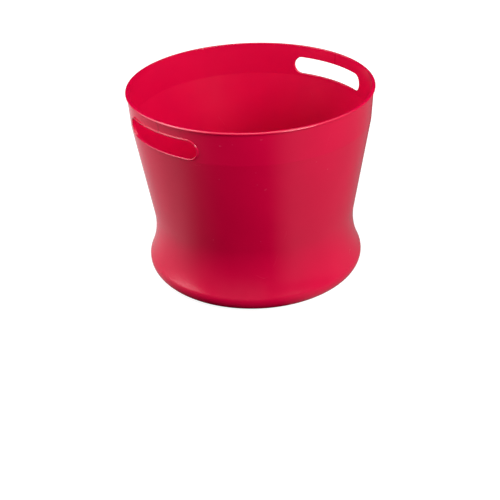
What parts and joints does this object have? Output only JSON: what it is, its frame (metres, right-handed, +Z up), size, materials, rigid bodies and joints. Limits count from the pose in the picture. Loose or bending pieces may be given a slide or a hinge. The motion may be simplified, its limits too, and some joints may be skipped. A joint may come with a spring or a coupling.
{
  "type": "beer bucket",
  "caption": "Round tapered plastic bucket for ice and bottles, with a rolled-out base and hand slots in an upright band under its beaded rim.",
  "frame": {"origin": "middle of the base, on the surface that the bucket stands on", "axes": "+Z up along the bucket's axis, +X out through the middle of one hand slot"},
  "size_m": [0.281, 0.281, 0.2252],
  "materials": {
    "red_plastic": "semi-gloss, coloured through"
  },
  "bodies": {
    "root": {"rim_bead": "red_plastic", "handle_band": "red_plastic", "grip_lip_left": "red_plastic", "grip_lip_right": "red_plastic", "side_wall": "red_plastic", "waist": "red_plastic", "base_bulge": "red_plastic", "floor_panel": "red_plastic", "base_ribs": "red_plastic"}
  },
  "joints": []
}
